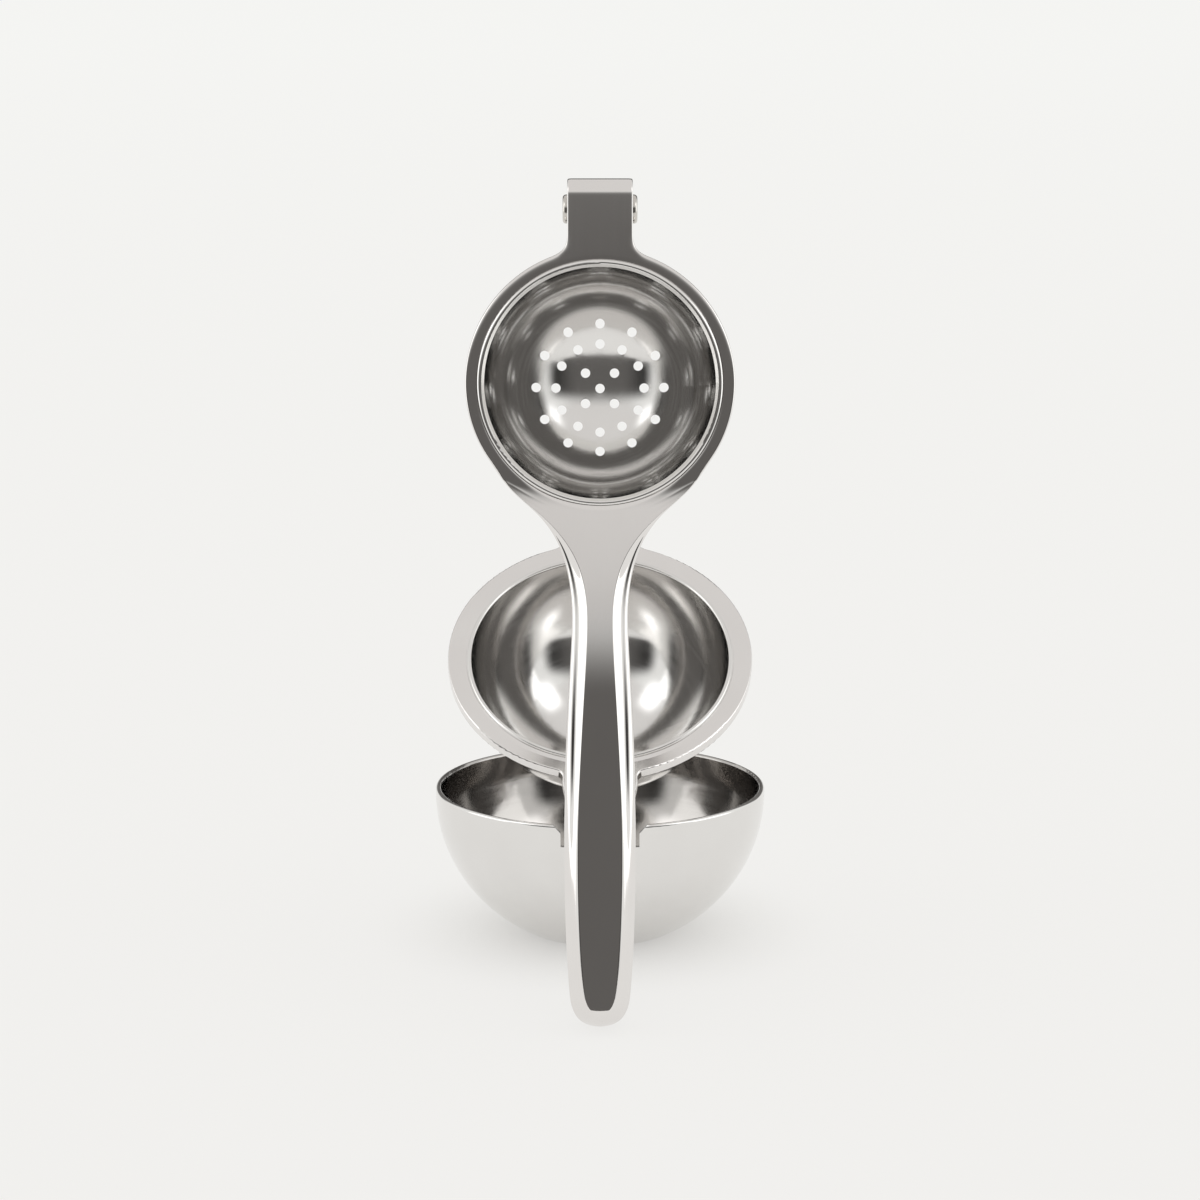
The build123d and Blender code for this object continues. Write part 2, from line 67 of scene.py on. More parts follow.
def newMaterial(name):
    mat = bpy.data.materials.new(name)
    mat.use_nodes = True
    return mat, mat.node_tree, mat.node_tree.nodes["Principled BSDF"]


def bareMaterial(name):
    mat = bpy.data.materials.new(name)
    mat.use_nodes = True
    mat.node_tree.nodes.clear()
    return mat, mat.node_tree


def wireMetal(tree, shader, tint, rough, bump=None):
    shader.inputs["Metallic"].default_value = 1.0
    tree.links.new(tint.outputs[2], shader.inputs["Base Color"])
    tree.links.new(rough.outputs[0], shader.inputs["Roughness"])
    if bump:
        tree.links.new(bump.outputs[0], shader.inputs["Normal"])


# Spun and mirror-polished stainless sheet: bright, warm grey, with faint rings left by the polishing wheel.
spunSteel = {
    "light": "#ecebe9",
    "shade": "#e5e3e1",
    "cupInsidePaintedShade": "#bebbb8",     # painted shade: the cup's inside is drawn greyer than the outside, to match the photo
    "lipBlend": 2.0,            # mm over which the cup's lip changes from one to the other
    "ringPitch": 0.9,           # mm; real rings are finer, drawn coarser so that they show
    "smudgeSize": 14.0,         # mm
    "roughLow": 0.1,
    "roughHigh": 0.16,
    "wearSpan": (0.1, 0.45),    # where rings times smudges mostly lie
}


def spunSteelMaterial(name, centre, turn, paintedInsideShade=None):
    mat, tree, shader = newMaterial(name)
    coord = addNode(tree, "ShaderNodeTexCoord")
    place = addNode(tree, "ShaderNodeMapping", {
        "vector_type": "TEXTURE", "Location": [c * mm for c in centre], "Rotation": turn,
    }, {"Vector": coord.outputs["Object"]})
    flat = addNode(tree, "ShaderNodeVectorMath", {"operation": "MULTIPLY", 1: (1, 1, 0)},
                   {0: place.outputs[0]})
    reach = addNode(tree, "ShaderNodeVectorMath", {"operation": "LENGTH"}, {0: flat.outputs[0]})
    split = addNode(tree, "ShaderNodeSeparateXYZ", {}, {0: place.outputs[0]})
    ringSpot = addNode(tree, "ShaderNodeCombineXYZ", {}, {0: reach.outputs["Value"], 1: split.outputs[2]})
    rings = addNode(tree, "ShaderNodeTexNoise", {
        "noise_dimensions": "2D", "Scale": 1 / (spunSteel["ringPitch"] * mm), "Detail": 2.0,
    }, {"Vector": ringSpot.outputs[0]})
    smudge = addNode(tree, "ShaderNodeTexNoise", {
        "Scale": 1 / (spunSteel["smudgeSize"] * mm), "Detail": 3.0, "Roughness": 0.55,
    }, {"Vector": coord.outputs["Object"]})
    tint = addNode(tree, "ShaderNodeMix", {
        "data_type": "RGBA", 6: linearColour(spunSteel["shade"]), 7: linearColour(spunSteel["light"]),
    }, {0: smudge.outputs[0]})
    if paintedInsideShade:                                   # faces that look towards the middle of the mouth are inside and get the painted shade
        facing = addNode(tree, "ShaderNodeNewGeometry")
        outward = addNode(tree, "ShaderNodeVectorMath", {"operation": "DOT_PRODUCT"},
                          {0: facing.outputs["Normal"], 1: place.outputs[0]})
        blend = spunSteel["lipBlend"] * mm
        outer = addNode(tree, "ShaderNodeMapRange", {"From Min": -blend, "From Max": blend},
                        {"Value": outward.outputs["Value"]})
        tint = addNode(tree, "ShaderNodeMix", {"data_type": "RGBA", 6: linearColour(paintedInsideShade)},
                       {0: outer.outputs[0], 7: tint.outputs[2]})
    worn = addNode(tree, "ShaderNodeMath", {"operation": "MULTIPLY"},
                   {0: rings.outputs[0], 1: smudge.outputs[0]})
    rough = addNode(tree, "ShaderNodeMapRange", {
        "From Min": spunSteel["wearSpan"][0], "From Max": spunSteel["wearSpan"][1],
        "To Min": spunSteel["roughLow"], "To Max": spunSteel["roughHigh"],
    }, {"Value": worn.outputs[0]})
    wireMetal(tree, shader, tint, rough)
    return mat


# Forged and buffed stainless: as bright as the sheet, with faint buff lines along the length of the piece.
buffedSteel = {
    "light": "#edebe9",
    "shade": "#e6e3e1",
    "lineWidth": 0.5,           # mm across the buff lines, drawn coarser than real so that they show
    "lineLength": 40.0,         # mm along them
    "lineHeight": 0.1,          # mm
    "lineStrength": 0.008,
    "cloudSize": 18.0,          # mm
    "roughLow": 0.05,
    "roughHigh": 0.1,
    "armDuller": 0.07,          # the bowl's arm is rougher by this much
    "wearSpan": (0.1, 0.45),    # where lines times clouds mostly lie
}


def buffedSteelMaterial(name, turn, duller=0.0):
    mat, tree, shader = newMaterial(name)
    coord = addNode(tree, "ShaderNodeTexCoord")
    wide, long = buffedSteel["lineWidth"] * mm, buffedSteel["lineLength"] * mm
    place = addNode(tree, "ShaderNodeMapping", {
        "vector_type": "TEXTURE", "Rotation": turn, "Scale": (wide, long, wide),
    }, {"Vector": coord.outputs["Object"]})
    lines = addNode(tree, "ShaderNodeTexNoise", {"Scale": 1.0, "Detail": 2.0}, {"Vector": place.outputs[0]})
    cloud = addNode(tree, "ShaderNodeTexNoise", {
        "Scale": 1 / (buffedSteel["cloudSize"] * mm), "Detail": 3.0,
    }, {"Vector": coord.outputs["Object"]})
    tint = addNode(tree, "ShaderNodeMix", {
        "data_type": "RGBA", 6: linearColour(buffedSteel["shade"]), 7: linearColour(buffedSteel["light"]),
    }, {0: cloud.outputs[0]})
    worn = addNode(tree, "ShaderNodeMath", {"operation": "MULTIPLY"},
                   {0: lines.outputs[0], 1: cloud.outputs[0]})
    rough = addNode(tree, "ShaderNodeMapRange", {
        "From Min": buffedSteel["wearSpan"][0], "From Max": buffedSteel["wearSpan"][1],
        "To Min": buffedSteel["roughLow"] + duller, "To Max": buffedSteel["roughHigh"] + duller,
    }, {"Value": worn.outputs[0]})
    bump = addNode(tree, "ShaderNodeBump", {
        "Strength": buffedSteel["lineStrength"], "Distance": buffedSteel["lineHeight"] * mm,
    }, {"Height": lines.outputs[0]})
    wireMetal(tree, shader, tint, rough, bump)
    return mat


# Turned steel pins and screws: tool marks run round the X axis, so highlights break into short arcs.
turnedSteel = {
    "light": "#dddad5",
    "shade": "#c9c5bf",
    "toolPitch": 0.2,           # mm
    "markHeight": 0.05,         # mm
    "markStrength": 0.06,
    "roughLow": 0.1,
    "roughHigh": 0.24,
    "markSpan": (0.3, 0.7),     # where the marks mostly lie
}


def turnedSteelMaterial(name):
    mat, tree, shader = newMaterial(name)
    coord = addNode(tree, "ShaderNodeTexCoord")
    split = addNode(tree, "ShaderNodeSeparateXYZ", {}, {0: coord.outputs["Object"]})
    marks = addNode(tree, "ShaderNodeTexNoise", {
        "noise_dimensions": "1D", "Scale": 1 / (turnedSteel["toolPitch"] * mm), "Detail": 2.0,
    }, {"W": split.outputs[0]})
    tint = addNode(tree, "ShaderNodeMix", {
        "data_type": "RGBA", 6: linearColour(turnedSteel["shade"]), 7: linearColour(turnedSteel["light"]),
    }, {0: marks.outputs[0]})
    rough = addNode(tree, "ShaderNodeMapRange", {
        "From Min": turnedSteel["markSpan"][0], "From Max": turnedSteel["markSpan"][1],
        "To Min": turnedSteel["roughLow"], "To Max": turnedSteel["roughHigh"],
    }, {"Value": marks.outputs[0]})
    bump = addNode(tree, "ShaderNodeBump", {
        "Strength": turnedSteel["markStrength"], "Distance": turnedSteel["markHeight"] * mm,
    }, {"Height": marks.outputs[0]})
    wireMetal(tree, shader, tint, rough, bump)
    return mat


# Sintered bronze: dull gold-brown with open pores between the pressed grains.
sinteredBronze = {
    "grain": "#b08a55",
    "pore": "#5e4526",
    "grainSize": 0.3,           # mm
    "poreDepth": 0.05,          # mm
    "poreStrength": 0.2,
    "roughLow": 0.35,
    "roughHigh": 0.6,
}


def sinteredBronzeMaterial(name):
    mat, tree, shader = newMaterial(name)
    coord = addNode(tree, "ShaderNodeTexCoord")
    grains = addNode(tree, "ShaderNodeTexVoronoi", {"Scale": 1 / (sinteredBronze["grainSize"] * mm)},
                     {"Vector": coord.outputs["Object"]})
    tint = addNode(tree, "ShaderNodeMix", {
        "data_type": "RGBA",
        6: linearColour(sinteredBronze["grain"]), 7: linearColour(sinteredBronze["pore"]),
    }, {0: grains.outputs["Distance"]})
    rough = addNode(tree, "ShaderNodeMapRange", {
        "To Min": sinteredBronze["roughLow"], "To Max": sinteredBronze["roughHigh"],
    }, {"Value": grains.outputs["Distance"]})
    bump = addNode(tree, "ShaderNodeBump", {
        "Strength": sinteredBronze["poreStrength"], "Distance": sinteredBronze["poreDepth"] * mm,
        "invert": True,
    }, {"Height": grains.outputs["Distance"]})
    wireMetal(tree, shader, tint, rough, bump)
    return mat


# The cup's inside takes a painted shade, greyer than its outside.
cupSteel = spunSteelMaterial("spun_stainless_cup", mouthSpot, level, spunSteel["cupInsidePaintedShade"])
strainerSteel = spunSteelMaterial("spun_stainless_strainer", leverSpot, leverTurn)
bowlSteel = spunSteelMaterial("spun_stainless_bowl", bowlSpot, bowlTurn)
leverSteel = buffedSteelMaterial("buffed_stainless_lever", leverTurn)
armSteel = buffedSteelMaterial("buffed_stainless_arm", bowlTurn, buffedSteel["armDuller"])
bracketSteel = buffedSteelMaterial("buffed_stainless_bracket", level)
pinSteel = turnedSteelMaterial("turned_steel")
washerBronze = sinteredBronzeMaterial("sintered_bronze")

finishOf = {
    "cup_shell": cupSteel, "strainer_bowl": strainerSteel, "strainer_retainer": strainerSteel,
    "press_bowl": bowlSteel, "bowl_arm": armSteel, "lever_body": leverSteel, "handle_back_plate": leverSteel,
    "dock_strap": leverSteel, "cup_bracket": bracketSteel, "bracket_rivet_left": pinSteel,
    "bracket_rivet_right": pinSteel, "pivot_pin": pinSteel, "pivot_cap": pinSteel, "hinge_pin": pinSteel,
    "hinge_pin_cap": pinSteel, "hinge_sleeve": pinSteel, "strap_screw_left": pinSteel,
    "strap_screw_right": pinSteel, "friction_washer_left": washerBronze,
    "friction_washer_right": washerBronze,
}
for nodeName, finish in finishOf.items():
    nodes[nodeName].data.materials.clear()
    nodes[nodeName].data.materials.append(finish)
print("finishes set:", len(finishOf))


def finishMesh(bm, name, place, finish):
    bm.transform(place)
    mesh = bpy.data.meshes.new(name)
    bm.to_mesh(mesh)
    bm.free()
    piece = bpy.data.objects.new(name, mesh)
    bpy.context.scene.collection.objects.link(piece)
    mesh.polygons.foreach_set("use_smooth", [True] * len(mesh.polygons))
    mesh.materials.append(finish)
    return piece


def framePlace(spot, turn):
    return Matrix.Translation(Vector(spot) * mm) @ Euler(turn).to_matrix().to_4x4() @ Matrix.Scale(mm, 4)


# Lever: flange ring, hinge tab and long faceted handle in one buffed piece.
# Local frame: X across, Y (q) up the lever, Z (n) out of its face; millimetres until it is placed.
lever = {
    # edgeRound is a share of the edge, neckSlope is the rise for each millimetre
    "boreR": 30.95, "ringR": 35.1, "thick": 4.0, "edge": 0.65, "edgeRound": 0.27, "land": 2.2, "steps": 96,
    "neckSlope": 0.18, "neckFrom": -25.5, "neckFull": -31.0, "neckTo": -61.0, "neckEnd": -98.0,
    "backN": -6.0, "backFrom": -30.0, "backLong": 30.0,
    "handleSegments": 14, "tabSegments": 5,
    # q at the edge, half width, facet to edge, edge drop, share that is the steep bevel, q at the middle
    "handle": [
        (-24.4, 25.9, 0.65, 0.55, 0.30, -35.1), (-27.6, 23.4, 0.85, 0.7, 0.35, -36.0),
        (-31.0, 19.6, 1.1, 0.9, 0.40, -37.2), (-34.2, 15.9, 1.5, 1.2, 0.45, -38.8),
        (-38.0, 12.8, 2.1, 1.8, 0.50, -40.9), (-42.2, 10.5, 2.8, 2.4, 0.55, -44.0),
        (-46.0, 9.2, 3.25, 2.85, 0.56, -47.0), (-49.7, 8.2, 3.6, 3.2, 0.57, -50.2),
        (-57.5, 7.0, 3.9, 3.6, 0.56, -57.5), (-69.1, 7.45, 4.0, 3.8, 0.53, -69.1),
        (-82.0, 8.3, 4.1, 4.0, 0.48, -82.0), (-97.6, 8.95, 3.9, 4.0, 0.38, -97.6),
        (-113.0, 9.25, 3.6, 4.0, 0.26, -113.0), (-128.0, 9.2, 3.5, 4.0, 0.15, -128.0),
        (-144.1, 8.8, 3.6, 4.0, 0.1, -144.1), (-154.5, 8.15, 3.8, 3.9, 0.1, -154.5),
        (-157.8, 7.85, 3.95, 3.75, 0.1, -158.4), (-158.9, 7.72, 4.07, 3.6, 0.1, -160.2),
        (-160.2, 7.5, 4.6, 3.4, 0.1, -161.7), (-161.2, 7.2, 6.3, 3.2, 0.1, -162.7),
        (-162.3, 6.8, 6.2, 2.9, 0.1, -163.5), (-163.8, 6.0, 5.5, 2.4, 0.1, -164.7),
        (-165.1, 4.7, 4.3, 1.8, 0.1, -165.6), (-166.2, 2.6, 2.4, 1.0, 0.1, -166.4),
    ],
    # by q at the edge: how far the face falls and the back lifts as the tip rounds off
    "tipDrop": {-161.2: 0.1, -162.3: 0.9, -163.8: 2.0, -165.1: 3.6, -166.2: 5.6},
    "tipLift": {-157.8: 0.1, -158.9: 0.2, -160.2: 0.4, -161.2: 0.6, -162.3: 0.9, -163.8: 1.4, -165.1: 2.1,
                -166.2: 3.2},
    "tipClose": 0.4, "tipCloseQ": 0.1,
    # the handle's cross-section in mm; Share, roll, landDrop and turnDrop are shares, Spots are counts
    "facet": {
        "topSpots": 8, "topShare": 0.93, "creaseIn": 0.3, "creaseWide": 3.0, "crease": 0.06,
        "breakShare": 0.08, "breakX": 0.03, "breakDrop": 0.02,     # top of the steep bevel
        "footIn": 0.05, "landShare": 0.45, "landDrop": 0.015,      # its foot, and the narrow land outside it
        "turnShare": 0.18, "turnDrop": 0.45,                       # where the land turns down to the side
        "rollFrom": 0.4, "rollOver": 0.28, "rollAt": (0.2, 0.45, 0.7, 0.9),    # by the steep bevel's share
        "cornerShare": 0.75, "cornerDrop": 0.1, "sideDrop": 0.35, "sideLow": 1.5, "backCorner": 0.7,
        "backIn": 1.0, "backShare": 0.3,
        "seatDeep": 0.12, "seatSpots": 8, "seatFrom": -70, "seatTo": -152, "seatFlat": 0.01,
    },
    # front q and n, back q and n, half width past tabHalf, how far the middle leads the edge
    "tab": [
        (34.5, 0.0, 34.5, -4.0, 0.96, 0.7), (36.0, 0.0, 36.0, -4.0, 0.28, 0.3),
        (37.6, 0.0, 37.6, -4.0, 0.02, 0.0), (39.5, 0.0, 39.5, -3.6, 0.0, 0.0),
        (42.0, 0.0, 42.0, -3.0, 0.0, 0.0), (45.5, 0.0, 45.5, -3.0, 0.0, 0.0),
    ],
    "lid": [
        (53.3, -5.2, 51.5, -5.2, 0.0, 0.0), (53.3, -7.2, 51.5, -7.2, 0.0, 0.0),
        (52.93, -8.75, 51.5, -8.5, 0.0, 0.0), (52.3, -9.65, 51.5, -9.3, -0.04, 0.0),
        (51.95, -9.9, 51.6, -9.75, -0.19, 0.0),
    ],
    "tabHalf": 8.54, "tabRound": 0.5, "tabCorner": 0.14,
    # the tab's bend about its own centre, in degrees; inner is the inside radius at its start and end
    "bend": {"q": 49.3, "n": -4.0, "outer": 4.0, "inner": (1.0, 2.2), "flatTo": 5,
             "angles": (-6, 4, 22, 40, 58, 76, 88)},
}
# Rows of the flange's profile, from the bore's front edge round the outside to the back.
boreTopRow = 1
faceRow, faceCornerRow, sideTopRow, sideMidRow, sideLowRow, backCornerRow, backRow = range(3, 10)


def faceHeight(q):
    ramp, ease = lever["neckFrom"] - lever["neckFull"], lever["neckTo"] - lever["neckEnd"]
    start = min(max(lever["neckFrom"] - q, 0.0), ramp)
    straight = min(max(lever["neckFull"] - q, 0.0), lever["neckFull"] - lever["neckTo"])
    last = min(max(lever["neckTo"] - q, 0.0), ease)
    return lever["neckSlope"] * (start * start / (2 * ramp) + straight + last - last * last / (2 * ease))


def backHeight(q):
    u = min(max((lever["backFrom"] - q) / lever["backLong"], 0.0), 1.0)
    return -lever["thick"] + (lever["backN"] + lever["thick"]) * u * u * (3 - 2 * u)


def spinFlange(bm, row):
    low, edge, outer = -lever["thick"], lever["edge"], lever["ringR"]
    corner, land = lever["edgeRound"] * edge, outer - lever["land"]
    profile = [(lever["boreR"], low), (lever["boreR"], 0.0), (land, 0.0), (outer - edge, 0.0),
               (outer - corner, -corner), (outer, -edge), (outer, low / 2), (outer, low + edge),
               (outer - corner, low + corner), (outer - edge, low), (land, low)]
    ring = []
    for i, (r, n) in enumerate(profile):
        v = bm.verts.new((r, 0, n))
        v[row] = i
        ring.append(v)
    edges = [bm.edges.new((ring[i], ring[(i + 1) % len(ring)])) for i in range(len(ring))]
    bmesh.ops.spin(bm, geom=ring + edges, cent=(0, 0, 0), axis=(0, 0, 1), dvec=(0, 0, 0),
                   angle=math.tau, steps=lever["steps"], use_merge=True, use_duplicate=False)
    bmesh.ops.remove_doubles(bm, verts=bm.verts, dist=1e-4)


def openNeck(bm, across, middle, segments):
    step = math.tau / lever["steps"]

    def turnTo(spot):
        return (math.atan2(spot.y, spot.x) - middle + math.pi) % math.tau - math.pi

    wall = [f for f in bm.faces if f.calc_center_median().xy.length > lever["ringR"] - lever["edge"]
            and abs(turnTo(f.calc_center_median())) < segments * step]
    bmesh.ops.delete(bm, geom=wall, context="FACES")
    rim = [e for e in bm.edges if e.is_boundary]
    for v in {v for e in rim for v in e.verts}:
        v[across] = round(turnTo(v.co) / step)
    return rim


def growNeck(bm, rim, placeVert):
    made = bmesh.ops.extrude_edge_only(bm, edges=rim)["geom"]
    for v in [g for g in made if isinstance(g, bmesh.types.BMVert)]:
        v.co = placeVert(v)
    return [g for g in made if isinstance(g, bmesh.types.BMEdge) and g.is_boundary]


def faceSpots(w, bevel, drop, steep):
    facet = lever["facet"]
    flat = w - bevel
    bevelTo = flat + steep * bevel
    landTo = bevelTo + facet["landShare"] * (w - bevelTo)
    edgeDrop = steep * bevel
    stepX = [flat + facet["breakShare"] * (bevelTo - flat) + facet["breakX"], bevelTo - facet["footIn"],
             landTo, w - facet["turnShare"] * (w - landTo)]
    stepDrop = [facet["breakShare"] * edgeDrop + facet["breakDrop"], edgeDrop,
                edgeDrop + facet["landDrop"] * drop, edgeDrop + facet["turnDrop"] * (drop - edgeDrop)]
    topX = [flat * facet["topShare"] * k / facet["topSpots"] for k in range(facet["topSpots"] + 1)]
    topX += [flat - facet["creaseIn"] * min(1, flat / facet["creaseWide"]), flat - facet["crease"]]
    topDrop = [0.0] * len(topX)
    # stepped bevel near the neck, plain rolled edge by the tip
    rolled = min(max((facet["rollFrom"] - steep) / facet["rollOver"], 0.0), 1.0)
    for x, fallOff, t in zip(stepX, stepDrop, facet["rollAt"]):
        rollDrop = drop * (0.5 * t + 0.5 - 0.5 * math.sqrt(1 - t * t))
        topX.append(x + rolled * (flat + t * bevel - x))
        topDrop.append(fallOff + rolled * (rollDrop - fallOff))
    return topX, topDrop


def handleStation(q, w, bevel, drop, steep, qMid):
    facet = lever["facet"]
    topX, topDrop = faceSpots(w, bevel, drop, steep)
    edgeDrop = steep * bevel
    lift, fall = lever["tipLift"].get(q, 0.0), lever["tipDrop"].get(q, 0.0)
    backW = w - min(facet["backIn"], facet["backShare"] * w)

    def placeVert(v):
        k, r = abs(v[across]), v[row]
        side = 1 if v[across] > 0 else -1
        x = {faceRow: topX[k], backRow: backW * k / lever["handleSegments"]}.get(r, w)
        qHere = q + (qMid - q) * (1 - (x / w) ** 2)
        top = faceHeight(qHere) - fall
        low = backHeight(qHere) + lift
        flatBack = r == backRow and k < facet["seatSpots"] and low < lever["backN"] + facet["seatFlat"]
        if flatBack and facet["seatTo"] < q < facet["seatFrom"]:
            low += facet["seatDeep"]             # shallow seat under the back plate
        n = {faceRow: top - topDrop[k],
             faceCornerRow: top - edgeDrop - facet["cornerShare"] * (drop - edgeDrop) - facet["cornerDrop"],
             sideTopRow: top - drop - facet["sideDrop"], sideMidRow: (top - drop + low) / 2,
             sideLowRow: low + facet["sideLow"], backCornerRow: low + facet["backCorner"], backRow: low}[r]
        return Vector((side * x, qHere, n))

    return placeVert


def bendStation(angle):
    bend = lever["bend"]
    turn = math.radians(angle)
    first, last = bend["inner"]
    reach = first + (last - first) * max(angle / 90, 0.0)
    rise = 1.0 if angle < bend["flatTo"] else math.cos(turn)     # the front stays flat until the bend starts
    return (bend["q"] + bend["outer"] * math.sin(turn), bend["n"] + bend["outer"] * rise,
            bend["q"] + reach * math.sin(turn), bend["n"] + reach * math.cos(turn), 0.0, 0.0)


def tabStation(qFront, nFront, qBack, nBack, wider, lead):
    front, back = Vector((0, qFront, nFront)), Vector((0, qBack, nBack))
    inward = (back - front).normalized()
    w = lever["tabHalf"] + wider
    edge, corner = lever["tabRound"], lever["tabCorner"]

    def placeVert(v):
        k, r = abs(v[across]), v[row]
        side = -1 if v[across] > 0 else 1
        flatX = (w - edge) * k / lever["tabSegments"]
        x = {faceRow: flatX, faceCornerRow: w - corner, backCornerRow: w - corner, backRow: flatX}.get(r, w)
        spot = {faceRow: front, faceCornerRow: front + corner * inward, sideTopRow: front + edge * inward,
                sideMidRow: (front + back) / 2, sideLowRow: back - edge * inward,
                backCornerRow: back - corner * inward, backRow: back}[r]
        return spot + Vector((side * x, lead * (1 - (x / w) ** 2), 0))

    return placeVert


def closeTip(v):
    return Vector((v.co.x * lever["tipClose"], v.co.y - lever["tipCloseQ"], v.co.z * lever["tipClose"]))


bm = bmesh.new()
row = bm.verts.layers.int.new("row")
across = bm.verts.layers.int.new("across")
spinFlange(bm, row)
for v in bm.verts:                               # the neck's rise begins on the ring's lower flange
    if boreTopRow <= v[row] <= sideTopRow:
        v.co.z += faceHeight(v.co.y)
rim = openNeck(bm, across, -math.pi / 2, lever["handleSegments"])
for station in lever["handle"]:
    rim = growNeck(bm, rim, handleStation(*station))
rim = growNeck(bm, rim, closeTip)
bmesh.ops.holes_fill(bm, edges=rim, sides=0)
rim = openNeck(bm, across, math.pi / 2, lever["tabSegments"])
for station in lever["tab"] + [bendStation(angle) for angle in lever["bend"]["angles"]] + lever["lid"]:
    rim = growNeck(bm, rim, tabStation(*station))
bmesh.ops.holes_fill(bm, edges=rim, sides=0)
bmesh.ops.recalc_face_normals(bm, faces=bm.faces)
leverPiece = finishMesh(bm, "lever_body_buffed", framePlace(leverSpot, leverTurn), leverSteel)
smooth = leverPiece.modifiers.new("rounding", "SUBSURF")
smooth.levels = smooth.render_levels = 2
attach(leverPiece, "lever")
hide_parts("lever_body")
print("lever modelled")


# Clevis ears: two cheeks behind the bent tab that carry the hinge pin.
# Each arc is its centre's q and n, its radius, and the degrees that it runs from and to.
clevis = {
    "outer": 8.52, "inner": 4.75, "low": 41.6, "front": -0.6, "edge": 0.42, "sharpAngle": 1.3, "arcSteps": 8,
    "arcs": [(49.3, -4.0, 3.4, 0, 80), (50.25, -7.45, 2.95, 92, 180), (44.4, -7.4, 3.0, 180, 270)],
}


def arcSpots(q, n, r, start, end):
    count = clevis["arcSteps"]
    turns = [math.radians(start + (end - start) * i / count) for i in range(count + 1)]
    return [(q + r * math.sin(t), n + r * math.cos(t)) for t in turns]


bm = bmesh.new()
outline = [(clevis["low"], clevis["front"])] + [spot for arc in clevis["arcs"] for spot in arcSpots(*arc)]
for side in (-1, 1):
    cheek = bm.faces.new([bm.verts.new((side * clevis["inner"], q, n)) for q, n in outline])
    made = bmesh.ops.extrude_face_region(bm, geom=[cheek], use_keep_orig=True)["geom"]
    for v in [g for g in made if isinstance(g, bmesh.types.BMVert)]:
        v.co.x = side * clevis["outer"]
bmesh.ops.recalc_face_normals(bm, faces=bm.faces)
sharp = [e for e in bm.edges if len(e.link_faces) == 2 and e.calc_face_angle() > clevis["sharpAngle"]]
bmesh.ops.bevel(bm, geom=sharp, offset=clevis["edge"], offset_type="OFFSET", affect="EDGES", segments=3,
                profile=0.5, material=-1, clamp_overlap=True)
clevisPiece = finishMesh(bm, "lever_clevis_ears", framePlace(leverSpot, leverTurn), leverSteel)
flatten = clevisPiece.modifiers.new("flat_faces", "WEIGHTED_NORMAL")
flatten.weight = 100
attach(clevisPiece, "lever")
print("clevis ears modelled")


# Rolled rim of the press bowl, a thin bead just inside the arm's ring.
bowlRim = {"ringR": 35.75, "beadR": 0.62, "deep": 0.5, "steps": 192, "around": 16}
bm = bmesh.new()
bmesh.ops.create_circle(bm, segments=bowlRim["around"], radius=bowlRim["beadR"])
bmesh.ops.rotate(bm, verts=bm.verts, cent=(0, 0, 0), matrix=Matrix.Rotation(math.pi / 2, 3, "X"))
bmesh.ops.translate(bm, verts=bm.verts, vec=(bowlRim["ringR"], 0, -bowlRim["deep"]))
bmesh.ops.spin(bm, geom=bm.verts[:] + bm.edges[:], cent=(0, 0, 0), axis=(0, 0, 1), dvec=(0, 0, 0),
               angle=math.tau, steps=bowlRim["steps"], use_merge=True, use_duplicate=False)
bmesh.ops.remove_doubles(bm, verts=bm.verts, dist=1e-4)
bmesh.ops.recalc_face_normals(bm, faces=bm.faces)
rimPiece = finishMesh(bm, "bowl_rolled_rim", framePlace(bowlSpot, bowlTurn), bowlSteel)
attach(rimPiece, "bowl")
print("bowl rim modelled")


# Pale paper sweep under and behind the press; metres from here on.
sweep = {
    "near": "#f2f1ef", "far": "#f6f6f4", "paleFrom": -0.25, "paleTo": 3.0, "front": -0.5, "size": 7.0,
    "shadowShare": 0.16,
    "footShare": 0.6, "footFrom": 0.02, "footTo": 0.07,    # more of the shadow round the cup's foot
}


def palePaperMaterial(name):
    mat, tree = bareMaterial(name)
    coord = addNode(tree, "ShaderNodeTexCoord")
    split = addNode(tree, "ShaderNodeSeparateXYZ", {}, {0: coord.outputs["Object"]})
    depth = addNode(tree, "ShaderNodeMapRange", {"From Min": sweep["paleFrom"], "From Max": sweep["paleTo"]},
                    {"Value": split.outputs[1]})
    paper = addNode(tree, "ShaderNodeMix", {
        "data_type": "RGBA", 6: linearColour(sweep["near"]), 7: linearColour(sweep["far"]),
    }, {0: depth.outputs[0]})
    path = addNode(tree, "ShaderNodeLightPath")
    seen = addNode(tree, "ShaderNodeMath", {"operation": "ADD", "use_clamp": True},
                   {0: path.outputs["Is Camera Ray"], 1: path.outputs["Is Glossy Ray"]})
    seen = addNode(tree, "ShaderNodeMath", {"operation": "ADD", "use_clamp": True},
                   {0: seen.outputs[0], 1: path.outputs["Is Transmission Ray"]})
    fromFoot = addNode(tree, "ShaderNodeVectorMath", {"operation": "LENGTH"}, {0: coord.outputs["Object"]})
    foot = addNode(tree, "ShaderNodeMapRange", {
        "interpolation_type": "SMOOTHSTEP", "From Min": sweep["footFrom"], "From Max": sweep["footTo"],
        "To Min": 1 - sweep["footShare"], "To Max": 1 - sweep["shadowShare"],
    }, {"Value": fromFoot.outputs["Value"]})
    share = addNode(tree, "ShaderNodeMath", {"operation": "MULTIPLY"},
                    {0: seen.outputs[0], 1: foot.outputs[0]})
    plain = addNode(tree, "ShaderNodeBsdfDiffuse", {}, {"Color": paper.outputs[2]})
    glow = addNode(tree, "ShaderNodeEmission", {"Strength": 1.0}, {"Color": paper.outputs[2]})
    both = addNode(tree, "ShaderNodeMixShader", {},
                   {0: share.outputs[0], 1: plain.outputs[0], 2: glow.outputs[0]})
    addNode(tree, "ShaderNodeOutputMaterial", {}, {"Surface": both.outputs[0]})
    return mat


